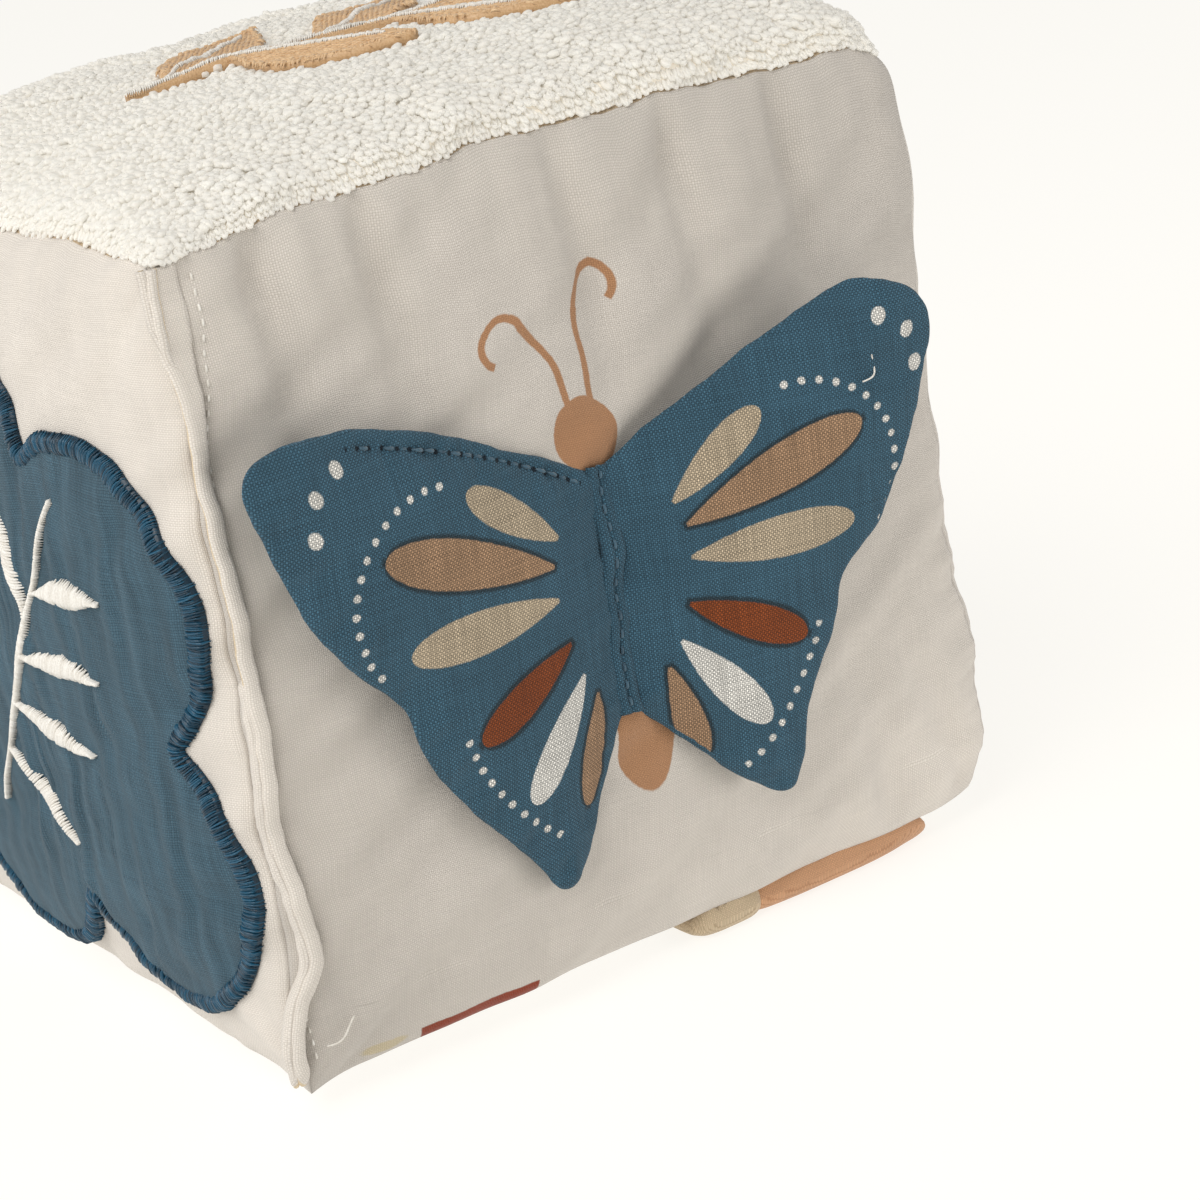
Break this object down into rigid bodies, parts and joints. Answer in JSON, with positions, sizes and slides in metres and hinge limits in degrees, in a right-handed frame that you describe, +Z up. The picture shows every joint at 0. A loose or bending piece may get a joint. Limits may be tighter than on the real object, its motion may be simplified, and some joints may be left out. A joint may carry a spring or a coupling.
{
  "type": "soft activity block",
  "caption": "Stuffed fabric cube for a baby, with a looped top, a scalloped flower patch and a sewn-on butterfly whose padded wings lift",
  "frame": {"origin": "the middle of the flat area under the block, on the surface that it rests on", "axes": "+X is to the right along the face with the butterfly, +Y is from that face to the back, +Z is up; -Z is the outward normal of the resting face"},
  "size_m": [0.1365, 0.1456, 0.1399],
  "materials": {
    "stuffing": "loose polyester fibre, matt",
    "terry": "looped pile, matt",
    "cotton": "plain weave cream cotton, matt",
    "slate_cotton": "plain weave slate blue cotton, matt",
    "wing_cotton": "coarse plain weave deep blue cotton, matt",
    "teal_thread": "satin stitched thread, soft sheen",
    "white_thread": "stitched thread, soft sheen",
    "tan_thread": "fill stitched thread, soft sheen",
    "tan_cotton": "padded plain weave tan cotton, matt",
    "beige_cotton": "padded plain weave beige cotton, matt"
  },
  "bodies": {
    "block": {"fibre_filling": "stuffing", "top_terry_panel": "terry", "front_panel": "cotton", "left_panel": "cotton", "right_panel": "cotton", "back_panel": "cotton", "bottom_panel": "cotton", "corner_fold": "cotton", "corner_fold_lip": "cotton", "corner_fold_thread": "white_thread", "flower_patch": "slate_cotton", "flower_satin_border": "teal_thread", "flower_sprig_embroidery": "white_thread", "flower_seed_embroidery_1": "tan_thread", "flower_seed_embroidery_2": "tan_thread", "flower_seed_embroidery_3": "tan_thread", "top_sprig_embroidery": "tan_thread", "top_vein_embroidery": "white_thread", "bottom_tan_pad": "tan_cotton", "bottom_beige_pad": "beige_cotton", "butterfly_seam_strip": "wing_cotton", "butterfly_seam_thread": "teal_thread"},
    "left_wing": {"left_wing_front_cloth": "wing_cotton", "left_wing_back_cloth": "wing_cotton", "left_wing_wadding": "stuffing", "left_wing_thread": "teal_thread"},
    "right_wing": {"right_wing_front_cloth": "wing_cotton", "right_wing_back_cloth": "wing_cotton", "right_wing_wadding": "stuffing"}
  },
  "joints": [
    {"name": "left_wing_flap", "type": "hinge", "parent": "block", "child": "left_wing", "pos_m": [-0.00605, -0.06515, 0.06155], "axis": [0, 0, 1], "range_deg": [-4, 75]},
    {"name": "right_wing_flap", "type": "hinge", "parent": "block", "child": "right_wing", "pos_m": [-0.00275, -0.06515, 0.06155], "axis": [0, 0, -1], "range_deg": [-14, 65]}
  ]
}
